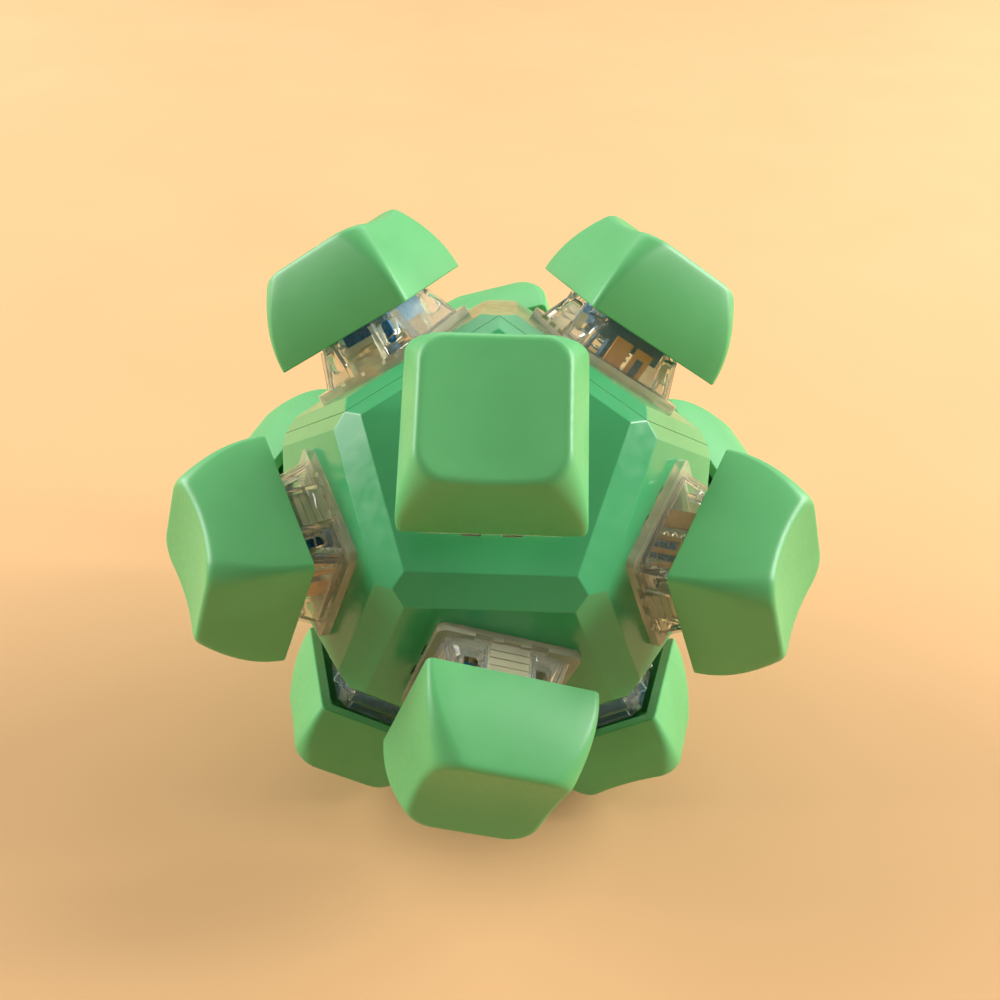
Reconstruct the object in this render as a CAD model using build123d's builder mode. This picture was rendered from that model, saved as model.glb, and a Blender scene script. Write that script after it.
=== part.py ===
from build123d import *
from math import asin, atan, cos, degrees, radians, sin, sqrt
from itertools import combinations
import os

# A hand-held ball of twelve push keys. A hollow shell in the shape of a dodecahedron
# with chamfered edges carries one clear push switch in each face, and each switch
# carries a sculpted keycap.
#
# Frame: origin at the ball's centre, +Z up, -Y to the front. The ball stands on three
# keycaps. Each key is modelled once in its own frame, whose origin is the middle of its
# face's outer surface, with +Z out of the ball along the key's axis and -Y towards the
# lower front edge of the keycap.

# Shell
FACE_DISTANCE = 22.7  # ball centre to the outer surface of each face
EDGE_DISTANCE = 25.5  # ball centre to the flat on each edge
FACE_WALL = 1.5  # the thickness that a switch clips into
EDGE_WALL = 2.0
CUT_OUT = 14.0  # side of the square hole for one switch
NOTCH_LENGTH = 2.0  # two notches open each end of the hole
NOTCH_SPREAD = 2.05
NOTCH_REACH = 8.0  # from the key's axis, just past the switch's flange
SEAM_GAP = 0.04  # each half stops this far short of the parting line
SHELL_EDGE_RADIUS = 0.35
BALL_BLOCK = 80.0  # side of the block that the ball is cut from
TONGUE_LENGTH = 6.0  # along the parting line
TONGUE_OFFSET = 3.6  # from the middle of the edge, so that the halves' tongues miss
TONGUE_REACH = 2.3  # to each side of the parting line
TONGUE_THICKNESS = 1.2
TONGUE_GAP = 0.15  # between a tongue and the wall of the other half
TONGUE_ROOT = 0.4  # how deep a tongue's root runs into its own wall

# Switch heights are measured from the outer surface of the face
BODY_SIZE = 13.9
BODY_FOOT = 12.8
BODY_DEPTH = 5.0
BODY_CORNER = 2.0
FLANGE_SIZE = 15.6
FLANGE_CORNER = 1.0
FLANGE_HEIGHT = 1.0
HOUSING_WALL = 1.0
POST_DIAMETER = 4.0
POST_DEPTH = 8.3
POST_BORE = 2.5
POST_BORE_DEPTH = 8.0
POCKET_LENGTH = 1.9  # three pockets in the flange's top, along each clip side
POCKET_SPACING = 3.0
POCKET_PLACE = 7.4  # from the key's axis
POCKET_WIDTH = 0.9
POCKET_DEPTH = 0.4
CATCH_LENGTH = 4.2  # the ribbed catch on each clip side
CATCH_BACK = 5.7  # from the key's axis
CATCH_FRONT = 7.3
CATCH_STEPS = 4
CATCH_STEP_HEIGHT = 0.75
CATCH_STEP_DEPTH = 0.2
COVER_TOP = 6.6
COVER_BASE_SIZE = 13.8
COVER_TOP_WIDTH = 11.2
COVER_TOP_DEPTH = 9.8
COVER_CORNER = 1.2
COVER_OPENING_WIDTH = 7.4
COVER_OPENING_DEPTH = 6.0
SLOT_WIDTH = 4.6  # of the slot above each catch
SLOT_TOP = 5.6
LOOP_WIDTH = 1.8  # windows beside the slot
LOOP_HEIGHT = 2.5
LOOP_SPREAD = 3.8
LOOP_SILL = 2.1
LOOP_CORNER = 0.5
CLIP_SIDE_START = 4.4  # from the key's axis
BAR_WIDTH = 0.5  # upright bars at the sides of the slot
BAR_SPREAD = 2.6
BAR_BACK = 5.9
BAR_FRONT = 6.95
BAR_TOP = 5.0
CORNER_RIB_WIDTH = 0.5
CORNER_RIB_FOOT = 9.3  # from the key's axis
CORNER_RIB_TOP = (7.6, 5.0)  # from the key's axis, and above the face
CORNER_RIB_BACK = 6.6

# Stem
CROSS_LENGTH = 4.0
CROSS_BAR = 1.2
CROSS_HEIGHT = 3.6
PLATFORM_WIDTH = 7.0
PLATFORM_DEPTH = 5.6
SHOULDER_WIDTH = 8.4
SHOULDER_DEPTH = 7.0
SHOULDER_TOP = 5.5
SHOULDER_BOTTOM = 3.0
POLE_DIAMETER = 2.2
POLE_TIP = 3.6  # below the face
LEG_WIDTH = 0.9
LEG_SPREAD = 4.4
LEG_DROP = 2.2

# Spring and contacts
SPRING_OUTER = 4.6
SPRING_INNER = 3.8
SPRING_SEAT = 4.0  # below the face
CONTACT_THICKNESS = 0.25
CONTACT_WIDTH = 2.3
ARCH_WIDTH = 1.1
ARCH_HEIGHT = 6.0
LEAF_X = -1.9
LEAF_Y = 3.95
FIXED_X = 1.3
FIXED_Y = 4.45
CONTACT_TOP = 3.9
PIN_WIDTH = 0.9
PIN_SLOT = 1.0
PIN_DEPTH = 8.3
FIXED_PIN_X = -3.81
LEAF_PIN_X = 2.54

# Keycap heights are measured from its rim
CAP_RIM = 5.3  # rim above the face, at rest
CAP_SIZE = 18.1
CAP_HEIGHT = 9.9  # to the corners of the top
CAP_TOP_WIDTH = 13.6
CAP_TOP_DEPTH = 13.4
CAP_TOP_SHIFT = 0.3  # the top's middle lies this far behind the rim's
CAP_BULGE = 0.55  # how far each side stands proud of a straight slope, half way up
CAP_RIM_CORNER = 0.7
CAP_TOP_CORNER = 3.0
CAP_CORNER_GROWTH = 2  # the corners open out faster and faster towards the top
CAP_LEAST_CORNER = 0.3
CAP_WALL = 1.4
CAP_ROOF = 2.2
CAP_SECTIONS = 4
CAP_OVERRUN = 0.6  # the sides run on past the top before the dish is cut
CAP_EDGE_RADIUS = 0.45
DISH_DEPTH = 0.9
CAP_EDGES_ABOVE = CAP_RIM + CAP_HEIGHT - 2 * DISH_DEPTH  # only the top's edges lie above
BOSS_DIAMETER = 5.5
BOSS_START = 1.4
BOSS_SLOT_LENGTH = 4.06
BOSS_SLOT_BAR = 1.26
BOSS_SLOT_DEPTH = 4.0

# Angles of a dodecahedron
FACE_ANGLE = degrees(atan(2))  # between the axes of two neighbouring faces
EDGE_ANGLE = FACE_ANGLE / 2
RING_STEP = 72
DIP = degrees(asin(sqrt((5 - 2 * sqrt(5)) / 15)))  # of the lower front key's axis

# Key frames. The shell parts into two halves of six faces: a pole face and a ring of
# five. Each ring face's -Y side is the edge that it shares with the pole face, and the
# pole face's is its edge with ring face 1.
FRONT_HALF = Plane(
    origin=(0, 0, 0),
    x_dir=(0, -sin(radians(DIP)), cos(radians(DIP))),
    z_dir=(0, -cos(radians(DIP)), -sin(radians(DIP))),
)
BACK_HALF = Plane(origin=(0, 0, 0), x_dir=-FRONT_HALF.x_dir, z_dir=-FRONT_HALF.z_dir)
FRONT_KEYS = (
    "lower_front", "crown_front", "upper_left", "base_left", "base_right", "upper_right",
)
BACK_KEYS = (
    "upper_back", "base_back", "lower_left", "crown_left", "crown_right", "lower_right",
)
SEAM_SIDES = (2, 3)  # of a ring face's five sides, counted from its -Y side

# Turns about a key's own axis from its face's frame, in degrees, where not 0. A switch's
# contacts are on its +Y side and its clips on the X sides. A keycap's front is at -Y.
SWITCH_TURNS = {
    "lower_front": 180,
    "upper_left": 180,
    "upper_right": 90,
    "crown_left": -90,
}
CAP_TURNS = {
    "upper_left": -90,
    "upper_right": 90,
    "base_left": -90,
    "base_right": 180,
    "crown_left": 90,
    "crown_right": -90,
}


def ring_plane(half, index):
    """The frame of ring face `index` of one half, with its origin on the face."""
    azimuth = radians(RING_STEP * index)
    tilt = radians(FACE_ANGLE)
    axis = Vector(sin(tilt) * cos(azimuth), sin(tilt) * sin(azimuth), cos(tilt))
    across = Vector(sin(azimuth), -cos(azimuth), 0)
    axis = half.from_local_coords(axis)
    across = half.from_local_coords(across)
    return Plane(origin=axis * FACE_DISTANCE, x_dir=across, z_dir=axis)


def pole_plane(half):
    """The frame of the pole face of one half, with -Y towards ring face 1."""
    azimuth = radians(RING_STEP)
    across = half.from_local_coords(Vector(-sin(azimuth), cos(azimuth), 0))
    return Plane(origin=half.z_dir * FACE_DISTANCE, x_dir=across, z_dir=half.z_dir)


def half_planes(half, names):
    """The frames of the six faces of one half, by the names of their keys."""
    planes = [pole_plane(half)] + [ring_plane(half, index) for index in range(5)]
    return dict(zip(names, planes))


def turned(plane, angle):
    """A frame turned about its own +Z."""
    return Plane(plane.location * Location((0, 0, 0), (0, 0, angle)))


FRONT_PLANES = half_planes(FRONT_HALF, FRONT_KEYS)
BACK_PLANES = half_planes(BACK_HALF, BACK_KEYS)
KEY_PLANES = {**FRONT_PLANES, **BACK_PLANES}
SWITCH_PLANES = {
    name: turned(plane, SWITCH_TURNS.get(name, 0)) for name, plane in KEY_PLANES.items()
}


def side_directions(side):
    """Unit vectors along the middle of one side's edge, and across it to the neighbour."""
    azimuth = radians(RING_STEP * side - 90)
    tilt = radians(EDGE_ANGLE)
    outwards = Vector(sin(tilt) * cos(azimuth), sin(tilt) * sin(azimuth), cos(tilt))
    across = Vector(cos(tilt) * cos(azimuth), cos(tilt) * sin(azimuth), -sin(tilt))
    return outwards, across


def make_ball(face_distance, edge_distance):
    """A dodecahedron with a flat on each edge, about the ball's centre."""
    axes = [plane.z_dir for plane in KEY_PLANES.values()]
    neighbours = [
        (a + b).normalized()
        for a, b in combinations(axes, 2)
        if abs(a.get_angle(b) - FACE_ANGLE) < 1
    ]
    with BuildPart() as ball:
        Box(BALL_BLOCK, BALL_BLOCK, BALL_BLOCK)
        for axis in axes:
            cut = Plane(origin=axis * face_distance, z_dir=axis)
            split(bisect_by=cut, keep=Keep.BOTTOM)
        for axis in neighbours:
            cut = Plane(origin=axis * edge_distance, z_dir=axis)
            split(bisect_by=cut, keep=Keep.BOTTOM)
    return ball


def make_pyramid(seam_sides):
    """The space that one face takes up, from the ball's centre out, in the face's own
    frame. It stops short of the parting line on its seam sides."""
    with BuildPart() as pyramid:
        with BuildSketch(Plane.XY.offset(-FACE_DISTANCE)):
            Rectangle(BALL_BLOCK, BALL_BLOCK)
        extrude(amount=BALL_BLOCK / 2)
        for side in range(5):
            across = side_directions(side)[1]
            gap = SEAM_GAP if side in seam_sides else 0
            border = Vector(0, 0, -FACE_DISTANCE) - across * gap
            split(bisect_by=Plane(origin=border, z_dir=across), keep=Keep.BOTTOM)
    return pyramid.part


def make_tongue(side):
    """A tongue across the parting line, which slides under the other half's wall, and its
    root in its own wall."""
    outwards, across = side_directions(side)
    wall = Vector(0, 0, -FACE_DISTANCE) + outwards * (EDGE_DISTANCE - EDGE_WALL)
    tongue_plane = Plane(origin=wall - outwards * TONGUE_GAP, x_dir=across, z_dir=outwards)
    with BuildPart() as tongue:
        with BuildSketch(tongue_plane):
            with Locations((0, TONGUE_OFFSET)):
                Rectangle(2 * TONGUE_REACH, TONGUE_LENGTH)
        extrude(amount=-TONGUE_THICKNESS)
        with BuildSketch(tongue_plane):
            with Locations((-SEAM_GAP, TONGUE_OFFSET)):
                Rectangle(TONGUE_REACH - SEAM_GAP, TONGUE_LENGTH, align=(Align.MAX, Align.CENTER))
        extrude(amount=TONGUE_GAP + TONGUE_ROOT)
    return tongue.part


def make_shell(planes):
    """Half of the shell: the walls of a pole face and its five ring faces, in one piece."""
    ball = make_ball(FACE_DISTANCE, EDGE_DISTANCE)
    with ball:
        fillet(ball.edges(), radius=SHELL_EDGE_RADIUS)
    hollow = make_ball(FACE_DISTANCE - FACE_WALL, EDGE_DISTANCE - EDGE_WALL)
    pole, *ring = [plane.location for plane in planes.values()]
    pole_pyramid = make_pyramid(())
    ring_pyramid = make_pyramid(SEAM_SIDES)
    tongues = [make_tongue(side) for side in SEAM_SIDES]
    with BuildPart() as shell:
        with Locations(pole):
            add(pole_pyramid)
        with Locations(*ring):
            add(ring_pyramid)
        add(ball.part, mode=Mode.INTERSECT)
        add(hollow.part, mode=Mode.SUBTRACT)
        with Locations(*ring):
            add(tongues)
        with BuildSketch(*[SWITCH_PLANES[name] for name in planes]):
            Rectangle(CUT_OUT, CUT_OUT)
            with GridLocations(2 * NOTCH_SPREAD, 0, 2, 1):
                Rectangle(NOTCH_LENGTH, 2 * NOTCH_REACH)
        extrude(amount=-2 * FACE_WALL, mode=Mode.SUBTRACT)
    return shell


def chamfered_square(plane, width, depth, corner):
    """A rectangle with its corners cut off at 45 degrees."""
    x = width / 2
    y = depth / 2
    points = [
        (x - corner, -y), (x, corner - y), (x, y - corner), (x - corner, y),
        (corner - x, y), (-x, y - corner), (-x, corner - y), (corner - x, -y),
    ]
    with BuildSketch(plane) as outline:
        with BuildLine():
            Polyline(*points, close=True)
        make_face()
    return outline.sketch


def make_catches():
    """The two ribbed catches that stand on the flange, one on each clip side."""
    with BuildPart() as catches:
        for step in range(CATCH_STEPS):
            front = CATCH_FRONT - CATCH_STEP_DEPTH * step
            middle = (front + CATCH_BACK) / 2
            with BuildSketch(Plane.XY.offset(FLANGE_HEIGHT + CATCH_STEP_HEIGHT * step)):
                with GridLocations(2 * middle, 0, 2, 1):
                    Rectangle(front - CATCH_BACK, CATCH_LENGTH)
            extrude(amount=CATCH_STEP_HEIGHT)
    return catches.part


def make_lower_housing():
    """The clear lower housing: a tapered box with a flange, catches and a guide post."""
    foot = chamfered_square(Plane.XY.offset(-BODY_DEPTH), BODY_FOOT, BODY_FOOT, BODY_CORNER)
    neck = chamfered_square(Plane.XY, BODY_SIZE, BODY_SIZE, BODY_CORNER)
    inside = BODY_FOOT - 2 * HOUSING_WALL
    catches = make_catches()
    with BuildPart() as housing:
        loft(sections=[foot, neck])
        with BuildSketch(Plane.XY):
            RectangleRounded(FLANGE_SIZE, FLANGE_SIZE, FLANGE_CORNER)
        extrude(amount=FLANGE_HEIGHT)
        with BuildSketch(Plane.XY.offset(FLANGE_HEIGHT)):
            Rectangle(inside, inside)
        extrude(amount=HOUSING_WALL - BODY_DEPTH - FLANGE_HEIGHT, mode=Mode.SUBTRACT)
        with BuildSketch(Plane.XY.offset(FLANGE_HEIGHT)):
            with GridLocations(2 * POCKET_PLACE, POCKET_SPACING, 2, 3):
                Rectangle(POCKET_WIDTH, POCKET_LENGTH)
        extrude(amount=-POCKET_DEPTH, mode=Mode.SUBTRACT)
        add(catches)
        with BuildSketch(Plane.XY.offset(-BODY_DEPTH)):
            Circle(POST_DIAMETER / 2)
        extrude(amount=BODY_DEPTH - POST_DEPTH)
        with BuildSketch(Plane.XY.offset(-BODY_DEPTH)):
            Circle(POST_DIAMETER / 2)
        extrude(amount=HOUSING_WALL)
        with BuildSketch(Plane.XY.offset(-POST_BORE_DEPTH)):
            Circle(POST_BORE / 2)
        extrude(amount=POST_BORE_DEPTH, mode=Mode.SUBTRACT)
        with BuildSketch(Plane.XY.offset(-BODY_DEPTH)):
            with Locations((FIXED_PIN_X, FIXED_Y), (LEAF_PIN_X, LEAF_Y)):
                Rectangle(PIN_SLOT, 2 * CONTACT_THICKNESS)
        extrude(amount=HOUSING_WALL, mode=Mode.SUBTRACT)
    return housing.part


def make_cover_ribs():
    """A slanting rib on each corner of the upper housing, and bars beside its slots."""
    rib_planes = [
        Plane(origin=(0, 0, 0), x_dir=(cos(turn), sin(turn), 0), z_dir=(sin(turn), -cos(turn), 0))
        for turn in (radians(45 + 90 * corner) for corner in range(4))
    ]
    bar_middle = (BAR_BACK + BAR_FRONT) / 2
    with BuildPart() as ribs:
        with BuildSketch(*rib_planes):
            with BuildLine():
                Polyline(
                    (CORNER_RIB_BACK, FLANGE_HEIGHT),
                    (CORNER_RIB_FOOT, FLANGE_HEIGHT),
                    CORNER_RIB_TOP,
                    (CORNER_RIB_BACK, CORNER_RIB_TOP[1]),
                    close=True,
                )
            make_face()
        extrude(amount=CORNER_RIB_WIDTH / 2, both=True)
        with BuildSketch(Plane.XY.offset(FLANGE_HEIGHT)):
            with GridLocations(2 * bar_middle, 2 * BAR_SPREAD, 2, 2):
                Rectangle(BAR_FRONT - BAR_BACK, BAR_WIDTH)
        extrude(amount=BAR_TOP - FLANGE_HEIGHT)
    return ribs.part


def make_upper_housing():
    """The clear upper housing: a tapered, open-topped cover that clips over the catches."""
    base = Plane.XY.offset(FLANGE_HEIGHT)
    top = Plane.XY.offset(COVER_TOP)
    outer_base = chamfered_square(base, COVER_BASE_SIZE, COVER_BASE_SIZE, COVER_CORNER)
    outer_top = chamfered_square(top, COVER_TOP_WIDTH, COVER_TOP_DEPTH, COVER_CORNER)
    walls = 2 * HOUSING_WALL
    roof = top.offset(-HOUSING_WALL)
    base_size = COVER_BASE_SIZE - walls
    corner = COVER_CORNER - HOUSING_WALL
    inner_base = chamfered_square(base, base_size, base_size, corner)
    inner_top = chamfered_square(roof, COVER_TOP_WIDTH - walls, COVER_TOP_DEPTH - walls, corner)
    ribs = make_cover_ribs()
    with BuildPart() as hollow:
        loft(sections=[inner_base, inner_top])
    with BuildPart() as housing:
        loft(sections=[outer_base, outer_top])
        add(ribs)
        add(hollow.part, mode=Mode.SUBTRACT)
        with BuildSketch(top):
            Rectangle(COVER_OPENING_WIDTH, COVER_OPENING_DEPTH)
        extrude(amount=-walls, mode=Mode.SUBTRACT)
        for side in (-1, 1):
            clip_side = Plane(
                origin=(side * CLIP_SIDE_START, 0, 0), x_dir=(0, 1, 0), z_dir=(side, 0, 0)
            )
            rising = clip_side.y_dir.Z
            with BuildSketch(clip_side):
                with Locations((0, rising * (FLANGE_HEIGHT + SLOT_TOP) / 2)):
                    Rectangle(SLOT_WIDTH, SLOT_TOP - FLANGE_HEIGHT)
                with Locations((0, rising * (LOOP_SILL + LOOP_HEIGHT / 2))):
                    with GridLocations(2 * LOOP_SPREAD, 0, 2, 1):
                        RectangleRounded(LOOP_WIDTH, LOOP_HEIGHT, LOOP_CORNER)
            extrude(amount=COVER_BASE_SIZE, mode=Mode.SUBTRACT)
    return housing.part


def make_stem():
    """The stem: a cross for the keycap, a platform, a shoulder, a guide pole and legs."""
    with BuildPart() as stem:
        with BuildSketch(Plane.XY.offset(COVER_TOP)):
            Rectangle(CROSS_LENGTH, CROSS_BAR)
            Rectangle(CROSS_BAR, CROSS_LENGTH)
        extrude(amount=CROSS_HEIGHT)
        with BuildSketch(Plane.XY.offset(SHOULDER_TOP)):
            Rectangle(PLATFORM_WIDTH, PLATFORM_DEPTH)
        extrude(amount=COVER_TOP - SHOULDER_TOP)
        with BuildSketch(Plane.XY.offset(SHOULDER_BOTTOM)):
            Rectangle(SHOULDER_WIDTH, SHOULDER_DEPTH)
        extrude(amount=SHOULDER_TOP - SHOULDER_BOTTOM)
        with BuildSketch(Plane.XY.offset(-POLE_TIP)):
            Circle(POLE_DIAMETER / 2)
        extrude(amount=POLE_TIP + SHOULDER_BOTTOM)
        with BuildSketch(Plane.XY.offset(SHOULDER_BOTTOM)):
            with Locations((0, (SHOULDER_DEPTH - LEG_WIDTH) / 2)):
                with GridLocations(LEG_SPREAD, 0, 2, 1):
                    Rectangle(LEG_WIDTH, LEG_WIDTH)
        extrude(amount=-LEG_DROP)
    return stem.part


def make_spring():
    """The outer shape of the coil spring that lifts the stem."""
    with BuildPart() as spring:
        with BuildSketch(Plane.XY.offset(-SPRING_SEAT)):
            Circle(SPRING_OUTER / 2)
            Circle(SPRING_INNER / 2, mode=Mode.SUBTRACT)
        extrude(amount=SPRING_SEAT + SHOULDER_BOTTOM)
    return spring.part


def make_contact(blade_x, blade_y, pin_x, arched):
    """A flat metal contact: a blade beside the stem, a foot and a pin through the floor.
    An arched blade is open in its middle."""
    floor = BODY_DEPTH - HOUSING_WALL
    standing = (Align.CENTER, Align.MIN)
    with BuildPart() as contact:
        with BuildSketch(Plane.XZ.offset(-blade_y)):
            with Locations((blade_x, -floor)):
                Rectangle(CONTACT_WIDTH, CONTACT_TOP + floor, align=standing)
            if arched:
                with Locations((blade_x, PIN_WIDTH - floor)):
                    Rectangle(ARCH_WIDTH, ARCH_HEIGHT, align=standing, mode=Mode.SUBTRACT)
            with Locations(((blade_x + pin_x) / 2, -floor)):
                Rectangle(abs(pin_x - blade_x) + PIN_WIDTH, PIN_WIDTH, align=standing)
            with Locations((pin_x, -PIN_DEPTH)):
                Rectangle(PIN_WIDTH, PIN_DEPTH - floor, align=standing)
        extrude(amount=CONTACT_THICKNESS / 2, both=True)
    return contact.part


def cap_section(share, inset, corner_inset):
    """A keycap's outline at a share of its height, drawn in from its outer surface."""
    bulge = 4 * CAP_BULGE * share * (1 - share)
    width = CAP_SIZE + (CAP_TOP_WIDTH - CAP_SIZE) * share + 2 * bulge - 2 * inset
    depth = CAP_SIZE + (CAP_TOP_DEPTH - CAP_SIZE) * share + 2 * bulge - 2 * inset
    corner = CAP_RIM_CORNER + (CAP_TOP_CORNER - CAP_RIM_CORNER) * share**CAP_CORNER_GROWTH
    plane = Plane.XY.offset(CAP_RIM + CAP_HEIGHT * share)
    with BuildSketch(plane) as outline:
        with Locations((0, CAP_TOP_SHIFT * share)):
            RectangleRounded(width, depth, max(corner - corner_inset, CAP_LEAST_CORNER))
    return outline.sketch


def make_keycap():
    """The keycap: bulged sides, a dished top, a hollow underside and a slotted boss."""
    roof = CAP_HEIGHT - CAP_ROOF
    overrun = 1 + CAP_OVERRUN / CAP_HEIGHT
    with BuildPart() as cavity:
        shares = [roof / CAP_HEIGHT * i / (CAP_SECTIONS - 1) for i in range(CAP_SECTIONS)]
        loft(sections=[cap_section(share, CAP_WALL, CAP_WALL) for share in shares])
    with BuildPart() as keycap:
        shares = [overrun * i / (CAP_SECTIONS - 1) for i in range(CAP_SECTIONS)]
        loft(sections=[cap_section(share, 0, 0) for share in shares])
        dish_radius = (CAP_TOP_WIDTH**2 / 4 + DISH_DEPTH**2) / (2 * DISH_DEPTH)
        dish_height = CAP_RIM + CAP_HEIGHT - DISH_DEPTH + dish_radius
        with BuildSketch(Plane.XZ):
            with Locations((0, dish_height)):
                Circle(dish_radius)
        extrude(amount=CAP_SIZE, both=True, mode=Mode.SUBTRACT)
        top_edges = keycap.edges().filter_by(lambda edge: edge.center().Z > CAP_EDGES_ABOVE)
        fillet(top_edges, radius=CAP_EDGE_RADIUS)
        add(cavity.part, mode=Mode.SUBTRACT)
        with BuildSketch(Plane.XY.offset(CAP_RIM + BOSS_START)):
            Circle(BOSS_DIAMETER / 2)
        extrude(amount=roof - BOSS_START)
        with BuildSketch(Plane.XY.offset(CAP_RIM + BOSS_START)):
            Rectangle(BOSS_SLOT_LENGTH, BOSS_SLOT_BAR)
            Rectangle(BOSS_SLOT_BAR, BOSS_SLOT_LENGTH)
        extrude(amount=BOSS_SLOT_DEPTH, mode=Mode.SUBTRACT)
    return keycap.part


def place_group(shape, name):
    """One copy of a switch's part in every face, as one node of separate solids."""
    with BuildPart() as group:
        with Locations(*[plane.location for plane in SWITCH_PLANES.values()]):
            add(shape)
    group.part.label = name
    export_step(group.part, f"parts/{name}.step")


def place_single(shape, plane, name):
    """One copy of a shape in a face's frame, as a node of its own."""
    with BuildPart(plane) as single:
        add(shape)
    single.part.label = name
    export_step(single.part, f"parts/{name}.step")


os.makedirs("parts", exist_ok=True)
front_shell = make_shell(FRONT_PLANES)
front_shell.part.label = "front_shell"
export_step(front_shell.part, "parts/front_shell.step")
back_shell = make_shell(BACK_PLANES)
back_shell.part.label = "back_shell"
export_step(back_shell.part, "parts/back_shell.step")

place_group(make_lower_housing(), "lower_housings")
place_group(make_contact(FIXED_X, FIXED_Y, FIXED_PIN_X, arched=False), "fixed_contacts")
place_group(make_contact(LEAF_X, LEAF_Y, LEAF_PIN_X, arched=True), "moving_contacts")
upper_housing = make_upper_housing()
stem = make_stem()
spring = make_spring()
keycap = make_keycap()
for key_name, switch_plane in SWITCH_PLANES.items():
    cap_plane = turned(KEY_PLANES[key_name], CAP_TURNS.get(key_name, 0))
    place_single(upper_housing, switch_plane, f"upper_housing_{key_name}")
    place_single(stem, switch_plane, f"stem_{key_name}")
    place_single(spring, switch_plane, f"spring_{key_name}")
    place_single(keycap, cap_plane, f"keycap_{key_name}")
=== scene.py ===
import math

import bmesh
import bpy
from mathutils import Matrix, Vector


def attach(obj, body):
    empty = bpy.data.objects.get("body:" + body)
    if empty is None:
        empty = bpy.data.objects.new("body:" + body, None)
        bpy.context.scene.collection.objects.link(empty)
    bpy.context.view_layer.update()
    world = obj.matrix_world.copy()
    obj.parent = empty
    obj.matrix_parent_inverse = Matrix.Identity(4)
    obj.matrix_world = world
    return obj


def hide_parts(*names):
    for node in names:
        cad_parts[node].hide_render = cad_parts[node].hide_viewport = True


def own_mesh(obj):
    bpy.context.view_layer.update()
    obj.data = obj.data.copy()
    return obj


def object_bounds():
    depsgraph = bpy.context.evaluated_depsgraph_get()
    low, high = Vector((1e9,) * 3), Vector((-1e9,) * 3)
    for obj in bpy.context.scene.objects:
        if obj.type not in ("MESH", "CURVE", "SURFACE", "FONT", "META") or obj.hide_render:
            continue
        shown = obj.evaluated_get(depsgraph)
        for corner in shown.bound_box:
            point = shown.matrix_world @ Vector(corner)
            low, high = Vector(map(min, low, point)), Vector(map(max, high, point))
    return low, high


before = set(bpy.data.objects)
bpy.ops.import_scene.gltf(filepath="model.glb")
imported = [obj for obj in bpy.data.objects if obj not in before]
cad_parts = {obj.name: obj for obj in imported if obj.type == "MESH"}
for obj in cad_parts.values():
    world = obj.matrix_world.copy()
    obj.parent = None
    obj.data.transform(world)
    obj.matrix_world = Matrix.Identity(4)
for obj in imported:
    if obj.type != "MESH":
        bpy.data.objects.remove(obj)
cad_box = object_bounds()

# A ball of twelve push keys: a chamfered dodecahedral shell, a clear switch in each face
# and a sculpted keycap on each switch. Everything is in metres, in the row's frame, with
# the origin at the ball's centre. Each key's own frame has its origin in the middle of
# its face, +Z out of the ball and -Y towards the edge that the keycap's front follows.

MM = 0.001

# Camera, from the ball's centre
CAMERA_PLACE = Vector((1.1, -97.3, 76.1)) * MM
CAMERA_TARGET = Vector((0.6, 1.24, 1.64)) * MM
CAMERA_ROLL = math.radians(1.5)
CAMERA_LENS = 36.04
CAMERA_SENSOR = 36.0

# Shell and switch, as the CAD has them
FACE_DISTANCE = 22.7 * MM
HOUSING_EDGE = 0.12 * MM
STEM_EDGE = 0.10 * MM
SPRING_SEAT = -4.0 * MM
SPRING_TOP = 3.0 * MM
SPRING_COIL = 2.1 * MM
SPRING_WIRE = 0.18 * MM
SPRING_TURNS = 8

# Keycap, as the CAD has it; heights are from its rim
CAP_RIM = 5.3 * MM
CAP_SIZE = 18.1 * MM
CAP_HEIGHT = 9.9 * MM
CAP_TOP_WIDTH = 13.6 * MM
CAP_TOP_DEPTH = 13.4 * MM
CAP_TOP_SHIFT = 0.3 * MM
CAP_BULGE = 0.55 * MM
CAP_RIM_CORNER = 0.7 * MM
CAP_TOP_CORNER = 3.0 * MM
CAP_CORNER_GROWTH = 2  # the corners open out faster and faster towards the top
CAP_LEAST_CORNER = 0.25 * MM
CAP_WALL = 1.4 * MM
CAP_ROOF = 2.2 * MM
CAP_EDGE = 0.65 * MM
CAP_RIM_EDGE = 0.12 * MM
DISH_DEPTH = 0.9 * MM
BOSS_RADIUS = 2.75 * MM
BOSS_START = 1.4 * MM
BOSS_ROOT = 0.2 * MM  # how far the boss runs into the ceiling
SLOT_LENGTH = 4.06 * MM
SLOT_BAR = 1.26 * MM
SLOT_DEPTH = 4.0 * MM

# Key frames
FACE_ANGLE = math.atan(2)
RING_STEP = math.radians(72)
DIP = math.asin(math.sqrt((5 - 2 * math.sqrt(5)) / 15))
FRONT_POLE = Vector((0, -math.cos(DIP), -math.sin(DIP)))
FRONT_START = Vector((0, -math.sin(DIP), math.cos(DIP)))
HALVES = (
    (FRONT_POLE, FRONT_START, "lower_front",
     ("crown_front", "upper_left", "base_left", "base_right", "upper_right")),
    (-FRONT_POLE, -FRONT_START, "upper_back",
     ("base_back", "lower_left", "crown_left", "crown_right", "lower_right")),
)
CAP_TURNS = {
    "upper_left": -90, "upper_right": 90, "base_left": -90, "base_right": 180,
    "crown_left": 90, "crown_right": -90,
}


def key_frame(across, axis):
    """The frame of a key with the given +X and +Z directions."""
    columns = Matrix((across, axis.cross(across), axis)).transposed().to_4x4()
    return Matrix.Translation(axis * FACE_DISTANCE) @ columns


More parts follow.
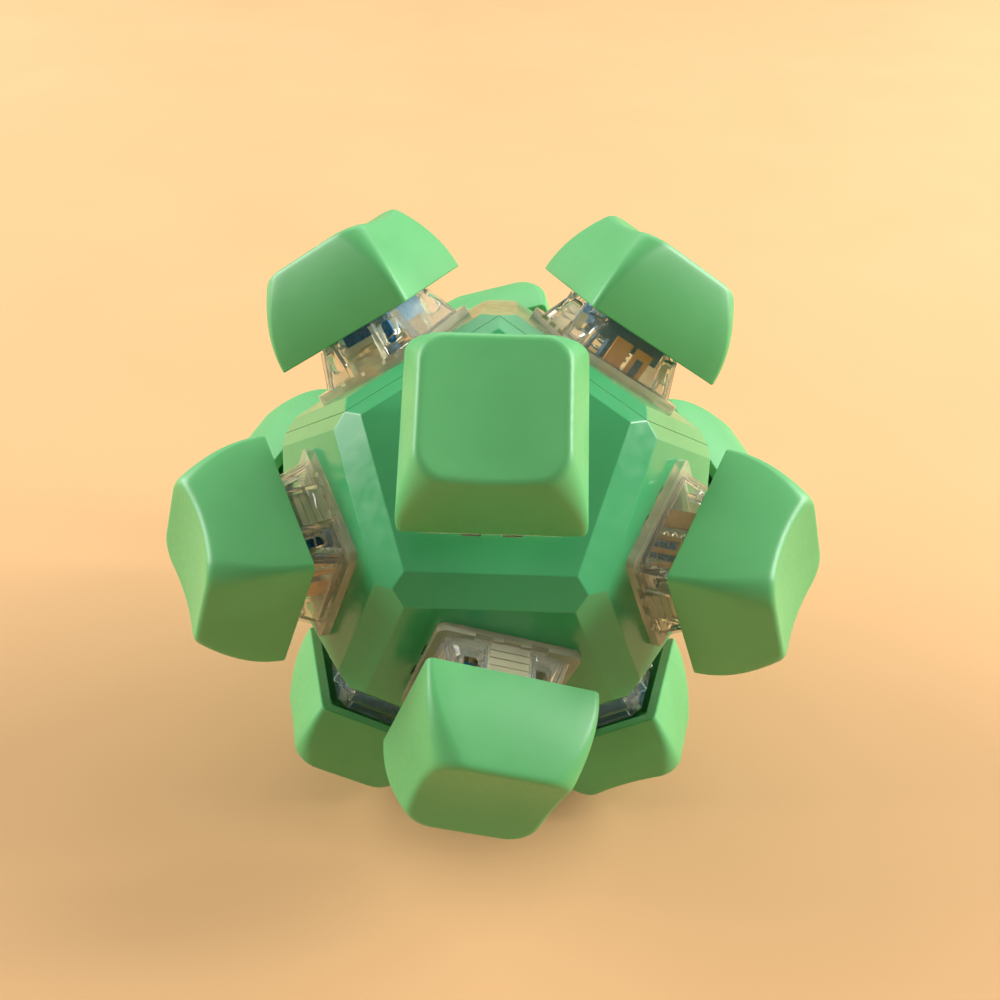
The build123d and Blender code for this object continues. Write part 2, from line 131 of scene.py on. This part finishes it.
def key_frames():
    """Each key's frame, by name."""
    frames = {}
    for pole, start, pole_name, ring_names in HALVES:
        aside = pole.cross(start)
        for index, name in enumerate(ring_names):
            turn = RING_STEP * index
            outwards = math.cos(turn) * start + math.sin(turn) * aside
            across = math.sin(turn) * start - math.cos(turn) * aside
            axis = math.sin(FACE_ANGLE) * outwards + math.cos(FACE_ANGLE) * pole
            frames[name] = key_frame(across, axis)
        across = math.cos(RING_STEP) * aside - math.sin(RING_STEP) * start
        frames[pole_name] = key_frame(across, pole)
    return frames


KEYS = key_frames()


# ---------------------------------------------------------------------------
# Camera, floor and light

def make_camera():
    """The camera, a little above the ball and in front of it."""
    data = bpy.data.cameras.new("camera")
    data.lens = CAMERA_LENS
    data.sensor_width = CAMERA_SENSOR
    data.clip_start = MM
    camera = bpy.data.objects.new("camera", data)
    bpy.context.scene.collection.objects.link(camera)
    look = (CAMERA_TARGET - CAMERA_PLACE).to_track_quat("-Z", "Y").to_matrix().to_4x4()
    camera.matrix_world = Matrix.Translation(CAMERA_PLACE) @ look @ Matrix.Rotation(CAMERA_ROLL, 4, "Z")
    bpy.context.scene.camera = camera


FLOOR_SIZE = 4.0


def make_floor():
    """A plain floor under the three lowest keycaps."""
    mesh = bpy.data.meshes.new("floor")
    half = FLOOR_SIZE / 2
    height = cad_box[0].z
    corners = [(-half, -half, height), (half, -half, height), (half, half, height), (-half, half, height)]
    mesh.from_pydata(corners, [], [(0, 1, 2, 3)])
    floor = bpy.data.objects.new("floor", mesh)
    bpy.context.scene.collection.objects.link(floor)
    mesh.materials.append(floor_material())


def make_area_light(name, place, size, power):
    """A rectangular lamp that faces the ball."""
    data = bpy.data.lights.new(name, "AREA")
    data.shape = "RECTANGLE"
    data.size, data.size_y = size
    data.energy = power
    data.color = LAMP_COLOUR
    light = bpy.data.objects.new(name, data)
    bpy.context.scene.collection.objects.link(light)
    place = Vector(place)
    aim = (-place).to_track_quat("-Z", "Y").to_matrix().to_4x4()
    light.matrix_world = Matrix.Translation(place) @ aim


LAMP_COLOUR = (1.0, 0.99, 0.96)
LAMPS = (  # name, place, width and height, watts
    ("left_softbox", (-0.84, 0.20, 0.40), (0.8, 0.6), 13.0),
    ("right_softbox", (0.82, 0.26, 0.40), (0.8, 0.6), 13.5),
    ("back_softbox", (0.0, 0.90, 0.70), (1.0, 0.5), 4.0),
    ("right_strip", (0.42, -0.02, 0.30), (0.04, 0.22), 0.9),
)
ROOM_COLOUR = (0.98, 0.95, 0.88, 1)
ROOM_STRENGTH = 0.32


def make_lights():
    """Big soft lamps on both sides, a weaker one behind, a narrow one and a dim warm room."""
    for lamp in LAMPS:
        make_area_light(*lamp)
    world = bpy.data.worlds.new("room")
    world.use_nodes = True
    background = world.node_tree.nodes["Background"]
    background.inputs["Color"].default_value = ROOM_COLOUR
    background.inputs["Strength"].default_value = ROOM_STRENGTH
    bpy.context.scene.world = world
    bpy.context.scene.view_settings.view_transform = "Standard"


# ---------------------------------------------------------------------------
# Materials

NOISE_ROUGHNESS = 0.55


class Shader:
    """A material with one Principled shader and short ways to feed its sockets."""

    def __init__(self, name, **values):
        self.material = bpy.data.materials.new(name)
        self.material.use_nodes = True
        self.tree = self.material.node_tree
        self.principled = self.tree.nodes["Principled BSDF"]
        self.output = self.tree.nodes["Material Output"]
        for socket, value in values.items():
            self.principled.inputs[socket.replace("_", " ")].default_value = value
        self.place = self.node("ShaderNodeTexCoord").outputs["Object"]

    def node(self, kind):
        return self.tree.nodes.new(kind)

    def noise(self, size, detail=3.0):
        """Noise whose grains are about `size` metres across."""
        node = self.node("ShaderNodeTexNoise")
        node.inputs["Scale"].default_value = 1 / size
        node.inputs["Detail"].default_value = detail
        node.inputs["Roughness"].default_value = NOISE_ROUGHNESS
        self.tree.links.new(self.place, node.inputs["Vector"])
        return node.outputs["Fac"]

    def ramp(self, factor, *stops):
        """A colour ramp with (position, colour) stops."""
        node = self.node("ShaderNodeValToRGB")
        elements = node.color_ramp.elements
        while len(elements) < len(stops):
            elements.new(0.5)
        for element, (position, colour) in zip(elements, stops):
            element.position = position
            element.color = (*colour, 1)
        self.tree.links.new(factor, node.inputs["Fac"])
        return node.outputs["Color"]

    def feed(self, value, socket):
        """Links a value to one of the Principled shader's sockets."""
        self.tree.links.new(value, self.principled.inputs[socket])

    def spread(self, factor, low, high):
        """The factor's middle stretch, mapped to low..high."""
        node = self.node("ShaderNodeMapRange")
        node.inputs["From Min"].default_value = 0.3
        node.inputs["From Max"].default_value = 0.7
        node.inputs["To Min"].default_value = low
        node.inputs["To Max"].default_value = high
        self.tree.links.new(factor, node.inputs["Value"])
        return node.outputs["Result"]

    def bump(self, height, depth):
        """Dents and rises of up to `depth` metres, where `height` says."""
        node = self.node("ShaderNodeBump")
        node.inputs["Distance"].default_value = depth
        node.inputs["Strength"].default_value = 1.0
        self.tree.links.new(height, node.inputs["Height"])
        self.feed(node.outputs["Normal"], "Normal")


def keycap_material():
    """Jade green moulded plastic with a fine satin grain."""
    made = Shader("keycap_plastic", Subsurface_Weight=0.15, Subsurface_Scale=0.0008, IOR=1.5)
    made.principled.inputs["Subsurface Radius"].default_value = (0.8, 1.6, 0.8)
    tone = made.noise(7 * MM, detail=2)
    made.feed(made.ramp(tone, (0.3, (0.095, 0.395, 0.133)), (0.7, (0.110, 0.430, 0.148))), "Base Color")
    made.feed(made.spread(made.noise(0.5 * MM), 0.36, 0.46), "Roughness")
    made.bump(made.noise(0.12 * MM, detail=4), 0.004 * MM)
    return made.material


def shell_material():
    """Jade green moulded plastic, polished, with a faint waviness."""
    made = Shader("shell_plastic", Subsurface_Weight=0.1, Subsurface_Scale=0.001, IOR=1.5)
    tone = made.noise(12 * MM, detail=2)
    made.feed(made.ramp(tone, (0.3, (0.050, 0.330, 0.120)), (0.7, (0.062, 0.370, 0.140))), "Base Color")
    made.feed(made.spread(made.noise(1.5 * MM), 0.14, 0.24), "Roughness")
    made.bump(made.noise(2.5 * MM, detail=2), 0.02 * MM)
    return made.material


def clear_material(name, colour, clearness):
    """Clear or milky moulded plastic, which lets lamps through to what it holds."""
    made = Shader(name, Base_Color=(*colour, 1), Transmission_Weight=clearness, IOR=1.5)
    made.feed(made.spread(made.noise(1.2 * MM), 0.01, 0.05), "Roughness")
    made.bump(made.noise(1.8 * MM, detail=2), 0.02 * MM)
    clear = made.node("ShaderNodeBsdfTransparent")
    clear.inputs["Color"].default_value = (0.94, 0.94, 0.90, 1)
    path = made.node("ShaderNodeLightPath")
    mix = made.node("ShaderNodeMixShader")
    links = made.tree.links
    links.new(path.outputs["Is Shadow Ray"], mix.inputs["Fac"])
    links.new(made.principled.outputs["BSDF"], mix.inputs[1])
    links.new(clear.outputs["BSDF"], mix.inputs[2])
    links.new(mix.outputs["Shader"], made.output.inputs["Surface"])
    return made.material


def stem_material():
    """Smooth dark blue plastic."""
    made = Shader("stem_plastic", IOR=1.5)
    tone = made.noise(2 * MM, detail=2)
    made.feed(made.ramp(tone, (0.3, (0.006, 0.110, 0.270)), (0.7, (0.010, 0.140, 0.330))), "Base Color")
    made.feed(made.spread(made.noise(0.6 * MM), 0.22, 0.34), "Roughness")
    made.bump(made.noise(0.3 * MM), 0.004 * MM)
    return made.material


def spring_material():
    """Bright drawn steel wire."""
    made = Shader("spring_steel", Metallic=1.0)
    tone = made.noise(0.8 * MM, detail=2)
    made.feed(made.ramp(tone, (0.3, (0.56, 0.55, 0.52)), (0.7, (0.72, 0.71, 0.68))), "Base Color")
    made.feed(made.spread(made.noise(0.2 * MM), 0.18, 0.30), "Roughness")
    return made.material


def contact_material():
    """Stamped copper alloy with a little tarnish."""
    made = Shader("contact_copper", Metallic=0.6)
    tone = made.noise(1.0 * MM)
    made.feed(made.ramp(tone, (0.3, (0.80, 0.34, 0.07)), (0.7, (0.95, 0.50, 0.12))), "Base Color")
    made.feed(made.spread(made.noise(0.4 * MM), 0.28, 0.42), "Roughness")
    made.bump(made.noise(0.2 * MM), 0.004 * MM)
    return made.material


def floor_material():
    """A plain, pale peach card."""
    made = Shader("peach_card", Roughness=0.9)
    tone = made.noise(60 * MM, detail=2)
    made.feed(made.ramp(tone, (0.3, (0.59, 0.350, 0.160)), (0.7, (0.61, 0.366, 0.170))), "Base Color")
    made.bump(made.noise(0.6 * MM), 0.01 * MM)
    return made.material


# ---------------------------------------------------------------------------
# Meshes in a key's own frame

SIDE_POINTS = 9  # along each straight side of an outline
CORNER_POINTS = 8  # round each corner of an outline


def rounded_outline(width, depth, corner):
    """Points anticlockwise round a rectangle with round corners, about its middle."""
    points = []
    for quarter in range(4):
        start = math.radians(90 * quarter)
        along = (depth if quarter % 2 == 0 else width) / 2 - corner
        across = (width if quarter % 2 == 0 else depth) / 2
        turn = Matrix.Rotation(start, 2)
        for i in range(SIDE_POINTS):
            share = -1 + 2 * i / SIDE_POINTS
            points.append(turn @ Vector((across, along * share)))
        for i in range(CORNER_POINTS):
            angle = math.radians(90 * i / CORNER_POINTS)
            bend = Vector((across - corner + corner * math.cos(angle), along + corner * math.sin(angle)))
            points.append(turn @ bend)
    return points


def cap_outline(share, inset=0.0):
    """The keycap's outline at a share of its height, drawn in by `inset`."""
    bulge = 4 * CAP_BULGE * share * (1 - share)
    width = CAP_SIZE + (CAP_TOP_WIDTH - CAP_SIZE) * share + 2 * (bulge - inset)
    depth = CAP_SIZE + (CAP_TOP_DEPTH - CAP_SIZE) * share + 2 * (bulge - inset)
    corner = CAP_RIM_CORNER + (CAP_TOP_CORNER - CAP_RIM_CORNER) * share**CAP_CORNER_GROWTH
    corner = max(corner - inset, CAP_LEAST_CORNER)
    shift = Vector((0, CAP_TOP_SHIFT * share))
    return [point + shift for point in rounded_outline(width, depth, corner)]


def dish_height(x):
    """Height of the dished top above the rim, at x across the keycap."""
    return CAP_HEIGHT - DISH_DEPTH * (1 - (2 * x / CAP_TOP_WIDTH) ** 2)


def add_ring(bm, points):
    """New vertices at the points."""
    return [bm.verts.new(point) for point in points]


def bridge(bm, low, high):
    """Faces between two rings of as many vertices, facing outwards when high is above."""
    count = len(low)
    for i in range(count):
        j = (i + 1) % count
        bm.faces.new((low[i], low[j], high[j], high[i]))


def fill(bm, ring, centre):
    """A fan from a ring to one vertex in its middle."""
    middle = bm.verts.new(centre)
    count = len(ring)
    for i in range(count):
        bm.faces.new((ring[i], ring[(i + 1) % count], middle))


SIDE_RINGS = 22
EDGE_RINGS = 7
TOP_RINGS = 12
TOP_PASSES = 6  # rounds of working out where a side meets the dished top


def side_point(i, share):
    """A point on the keycap's side, at a share of its height."""
    point = cap_outline(share)[i]
    return Vector((point.x, point.y, CAP_RIM + share * CAP_HEIGHT))


def top_share(i):
    """The share of the height at which point i of the side meets the dished top."""
    share = 1.0
    for _ in range(TOP_PASSES):
        share = dish_height(cap_outline(share)[i].x) / CAP_HEIGHT
    return share


def add_side(bm, ring, tops):
    """The sides, from the rim's ring to just below the top edge; gives the last ring."""
    start = CAP_RIM_EDGE / CAP_HEIGHT
    for step in range(SIDE_RINGS + 1):
        points = []
        for i, top in enumerate(tops):
            last = top - CAP_EDGE / CAP_HEIGHT
            points.append(side_point(i, start + (last - start) * step / SIDE_RINGS))
        higher = add_ring(bm, points)
        bridge(bm, ring, higher)
        ring = higher
    return ring


def add_top_edge(bm, ring, tops, inner):
    """The soft edge between the sides and the dished top; gives the last ring."""
    starts = [vertex.co.copy() for vertex in ring]
    corners = [side_point(i, top) for i, top in enumerate(tops)]
    for step in range(1, EDGE_RINGS + 1):
        t = step / EDGE_RINGS
        points = [
            (1 - t) ** 2 * a + 2 * t * (1 - t) * b + t**2 * c
            for a, b, c in zip(starts, corners, inner)
        ]
        higher = add_ring(bm, points)
        bridge(bm, ring, higher)
        ring = higher
    return ring


def add_dish(bm, ring, inner):
    """The dished top, from its edge to its middle."""
    for step in range(1, TOP_RINGS):
        scale = 1 - step / TOP_RINGS
        points = []
        for point in inner:
            x = point.x * scale
            y = CAP_TOP_SHIFT + (point.y - CAP_TOP_SHIFT) * scale
            points.append(Vector((x, y, CAP_RIM + dish_height(x))))
        closer = add_ring(bm, points)
        bridge(bm, ring, closer)
        ring = closer
    fill(bm, ring, (0, CAP_TOP_SHIFT, CAP_RIM + dish_height(0)))


def keycap_skin(bm):
    """The keycap's outer skin, from the rim up over the dished top; gives the rim's ring."""
    tops = [top_share(i) for i in range(len(cap_outline(0)))]
    inner = []
    for i, top in enumerate(tops):
        flat = cap_outline(top, CAP_EDGE)[i]
        inner.append(Vector((flat.x, flat.y, CAP_RIM + dish_height(flat.x))))
    rim = add_ring(bm, [Vector((p.x, p.y, CAP_RIM)) for p in cap_outline(0, CAP_RIM_EDGE)])
    ring = add_side(bm, rim, tops)
    ring = add_top_edge(bm, ring, tops, inner)
    add_dish(bm, ring, inner)
    return rim


CAVITY_RINGS = 8


def keycap_cavity(bm, rim):
    """The keycap's rim and the inside of its walls, up to a flat ceiling."""
    roof = (CAP_HEIGHT - CAP_ROOF) / CAP_HEIGHT
    previous = rim
    for step in range(CAVITY_RINGS + 1):
        share = roof * step / CAVITY_RINGS
        height = CAP_RIM + share * CAP_HEIGHT
        ring = add_ring(bm, [Vector((p.x, p.y, height)) for p in cap_outline(share, CAP_WALL)])
        bridge(bm, ring, previous)
        previous = ring
    top = Vector((0, CAP_TOP_SHIFT * roof, CAP_RIM + roof * CAP_HEIGHT))
    middle = bm.verts.new(top)
    count = len(previous)
    for i in range(count):
        bm.faces.new((previous[(i + 1) % count], previous[i], middle))


BOSS_POINTS = 48


def cross_outline(length, bar):
    """The twelve corners of a cross, anticlockwise."""
    a, b = length / 2, bar / 2
    quarter = [(a, -b), (a, b), (b, b)]
    points = []
    for turn in range(4):
        rotation = Matrix.Rotation(math.radians(90 * turn), 2)
        points += [rotation @ Vector(point) for point in quarter]
    return points


def keycap_boss(bm):
    """The round boss under the keycap's ceiling, with its cross-shaped slot."""
    low = CAP_RIM + BOSS_START
    high = CAP_RIM + CAP_HEIGHT - CAP_ROOF + BOSS_ROOT
    slot_top = low + SLOT_DEPTH
    angles = []
    cross = cross_outline(SLOT_LENGTH, SLOT_BAR)
    for i in range(len(cross)):
        a, b = cross[i], cross[(i + 1) % len(cross)]
        for step in range(4):
            angles.append(a.lerp(b, step / 4))
    outer = [point.normalized() * BOSS_RADIUS for point in angles]
    outer_low = add_ring(bm, [(p.x, p.y, low) for p in outer])
    outer_high = add_ring(bm, [(p.x, p.y, high) for p in outer])
    slot_low = add_ring(bm, [(p.x, p.y, low) for p in angles])
    slot_high = add_ring(bm, [(p.x, p.y, slot_top) for p in angles])
    bridge(bm, outer_low, outer_high)
    bridge(bm, slot_low, outer_low)
    bridge(bm, slot_high, slot_low)
    fill(bm, outer_high, (0, 0, high))
    fill(bm, list(reversed(slot_high)), (0, 0, slot_top))


TURN_STEPS = 28
WIRE_SIDES = 10


def spring_coil(bm):
    """A coil of round wire with flat, closed ends."""
    steps = TURN_STEPS * SPRING_TURNS
    length = SPRING_TOP - SPRING_SEAT - 2 * SPRING_WIRE
    previous = None
    for step in range(steps + 1):
        share = step / steps
        turn = 2 * math.pi * SPRING_TURNS * share
        # one closed turn at each end, an even pitch between
        closed = 1 / SPRING_TURNS
        rise = min(max((share - closed) / (1 - 2 * closed), 0), 1)
        wire_rise = 2 * SPRING_WIRE * (min(share, closed) + max(share - 1 + closed, 0)) / closed
        height = SPRING_SEAT + SPRING_WIRE + wire_rise + (length - 4 * SPRING_WIRE) * rise
        outwards = Vector((math.cos(turn), math.sin(turn), 0))
        centre = outwards * SPRING_COIL + Vector((0, 0, height))
        ring = []
        for side in range(WIRE_SIDES):
            angle = 2 * math.pi * side / WIRE_SIDES
            spoke = outwards * math.cos(angle) + Vector((0, 0, math.sin(angle)))
            ring.append(centre + spoke * SPRING_WIRE)
        ring = add_ring(bm, ring)
        if previous:
            bridge(bm, previous, ring)
        else:
            bm.faces.new(ring)
        previous = ring
    bm.faces.new(list(reversed(previous)))


SHARP_ANGLE = math.radians(40)


def new_piece(name, build, place, body, node, material):
    """A mesh piece made in a key's frame, riding on a body and standing for a CAD node."""
    bm = bmesh.new()
    for part in build:
        part(bm)
    bmesh.ops.transform(bm, matrix=place, verts=bm.verts)
    bmesh.ops.recalc_face_normals(bm, faces=bm.faces)
    mesh = bpy.data.meshes.new(name)
    bm.to_mesh(mesh)
    bm.free()
    mesh.shade_smooth()
    mesh.set_sharp_from_angle(angle=SHARP_ANGLE)
    mesh.materials.append(material)
    piece = bpy.data.objects.new(name, mesh)
    bpy.context.scene.collection.objects.link(piece)
    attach(piece, body)
    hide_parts(node)
    return piece


def keycap_body(bm):
    """The keycap's skin, rim and inside."""
    keycap_cavity(bm, keycap_skin(bm))


def make_key(name, cap_plastic, steel):
    """The keycap and the spring of one key."""
    turn = Matrix.Rotation(math.radians(CAP_TURNS.get(name, 0)), 4, "Z")
    new_piece(
        f"cap_{name}", (keycap_body, keycap_boss), KEYS[name] @ turn,
        f"key_{name}", f"keycap_{name}", cap_plastic,
    )
    coil = new_piece(
        f"coil_{name}", (spring_coil,), KEYS[name],
        "root", f"spring_{name}", steel,
    )
    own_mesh(coil)


WELD_DISTANCE = 0.002 * MM
EDGE_SEGMENTS = 2
EDGE_ANGLE = math.radians(30)


def round_edges(node, width):
    """Rounds a CAD node's edges, without touching its own mesh."""
    weld = node.modifiers.new("weld", "WELD")
    weld.merge_threshold = WELD_DISTANCE
    bevel = node.modifiers.new("round", "BEVEL")
    bevel.width = width
    bevel.segments = EDGE_SEGMENTS
    bevel.limit_method = "ANGLE"
    bevel.angle_limit = EDGE_ANGLE
    bevel.harden_normals = False


def dress_cad(plastics):
    """Gives the CAD nodes their materials, and the housings and stems their soft edges."""
    for name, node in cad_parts.items():
        for start, material in plastics.items():
            if start in name:
                node.data.materials.clear()
                node.data.materials.append(material)
    for name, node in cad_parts.items():
        if "housing" in name:
            round_edges(node, HOUSING_EDGE)
        if name.startswith("stem"):
            round_edges(node, STEM_EDGE)


make_camera()
make_floor()
make_lights()
cap_plastic = keycap_material()
steel = spring_material()
dress_cad({
    "_shell": shell_material(),
    "lower_housings": clear_material("milky_plastic", (0.80, 0.77, 0.58), 0.65),
    "upper_housing_": clear_material("clear_plastic", (0.95, 0.96, 0.86), 0.9),
    "stem_": stem_material(),
    "contacts": contact_material(),
    "keycap_": cap_plastic,
    "spring_": steel,
})
for key_name in KEYS:
    make_key(key_name, cap_plastic, steel)
